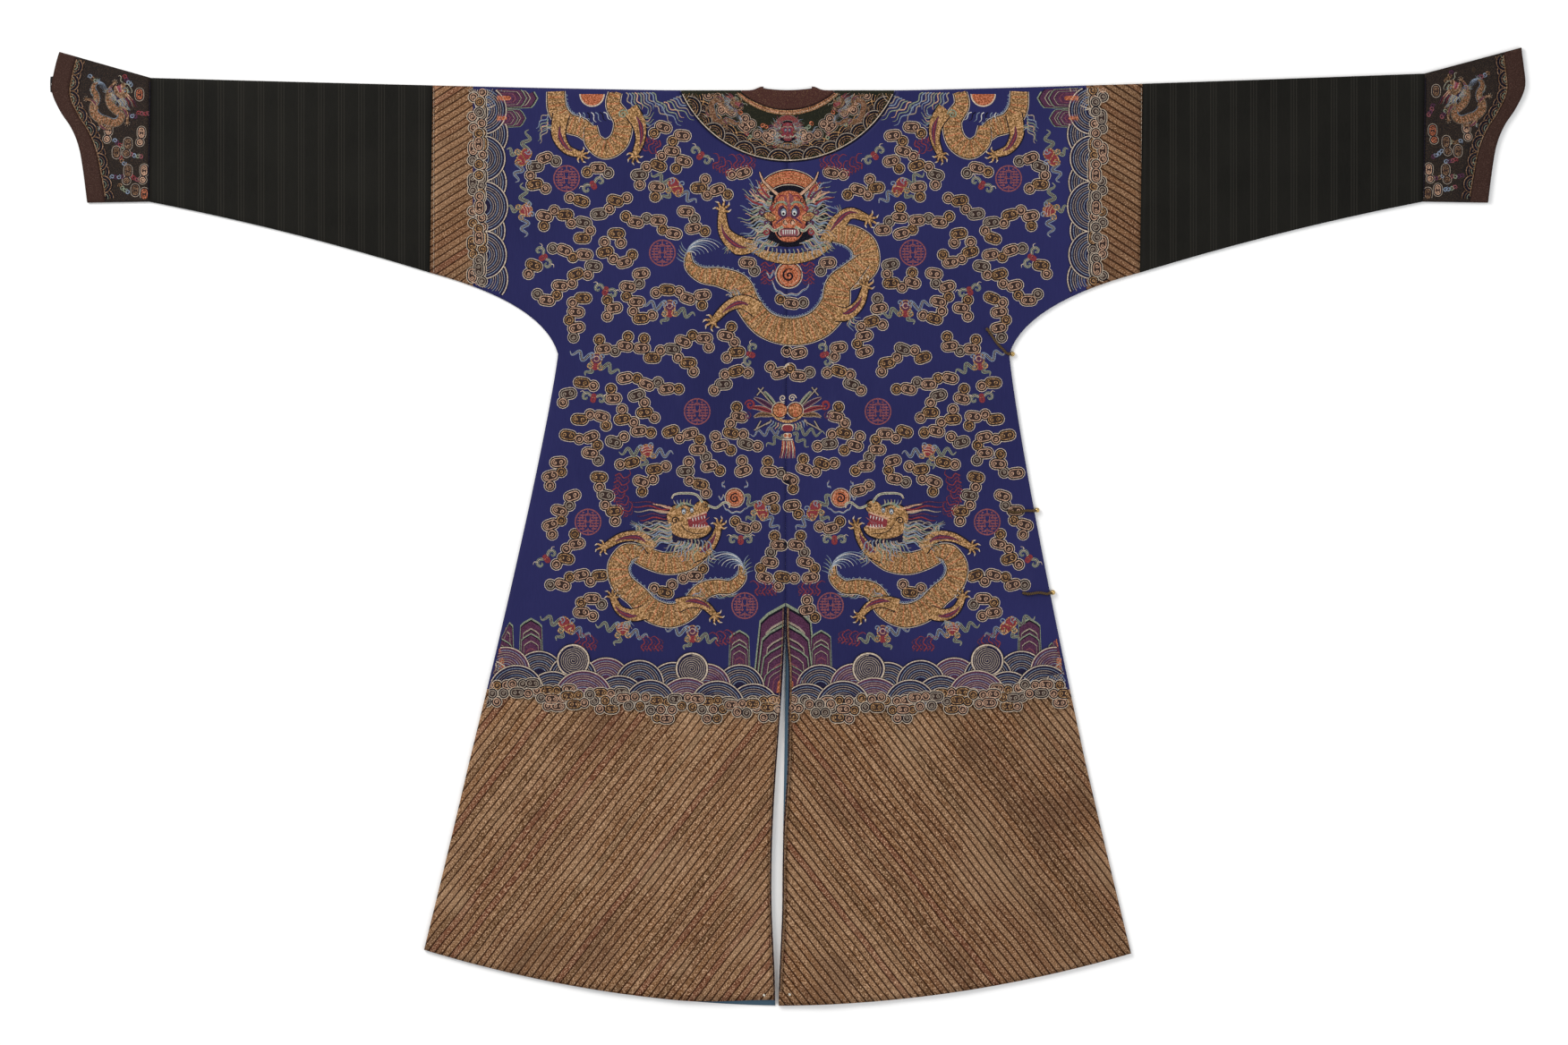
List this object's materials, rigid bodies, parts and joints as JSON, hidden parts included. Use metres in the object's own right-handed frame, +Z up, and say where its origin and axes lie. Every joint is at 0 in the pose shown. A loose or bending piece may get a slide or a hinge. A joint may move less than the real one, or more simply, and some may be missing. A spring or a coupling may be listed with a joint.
{
  "type": "chinese dragon robe",
  "caption": "Flared silk robe laid flat, back up, with dragons and clouds, banded sleeves, horse-hoof cuffs, round collar and brass ball buttons.",
  "frame": {"origin": "middle of the laid-out robe's outline, on the surface that it lies on", "axes": "+X from the left sleeve to the right one as seen from above the back, +Y up the robe to the neck, +Z up from the surface"},
  "size_m": [2.2022, 1.4314, 0.0105],
  "materials": {
    "blue_silk": "satin",
    "black_silk": "ribbed satin",
    "cuff_silk": "satin",
    "burgundy_brocade": "woven brocade",
    "collar_silk": "satin",
    "olive_cord": "twisted cord",
    "brass": "worn polish",
    "black_tape": "matt tape",
    "lining_silk": "plain silk",
    "gold_thread": "couched metal thread",
    "silk_thread": "floss silk embroidery"
  },
  "bodies": {
    "root": {"body_left": "blue_silk", "body_right": "blue_silk", "front_overlap": "blue_silk", "sleeve_left": "black_silk", "sleeve_right": "black_silk", "cuff_left": "cuff_silk", "cuff_right": "cuff_silk", "cuff_edge_left": "burgundy_brocade", "cuff_edge_right": "burgundy_brocade", "collar": "collar_silk", "neck_band": "burgundy_brocade", "toggle_loop_1": "olive_cord", "toggle_loop_2": "olive_cord", "toggle_loop_3": "olive_cord", "button_1": "brass", "button_2": "brass", "button_3": "brass", "cuff_tab": "black_tape", "vent_bead_left": "brass", "vent_bead_right": "brass"}
  },
  "joints": []
}
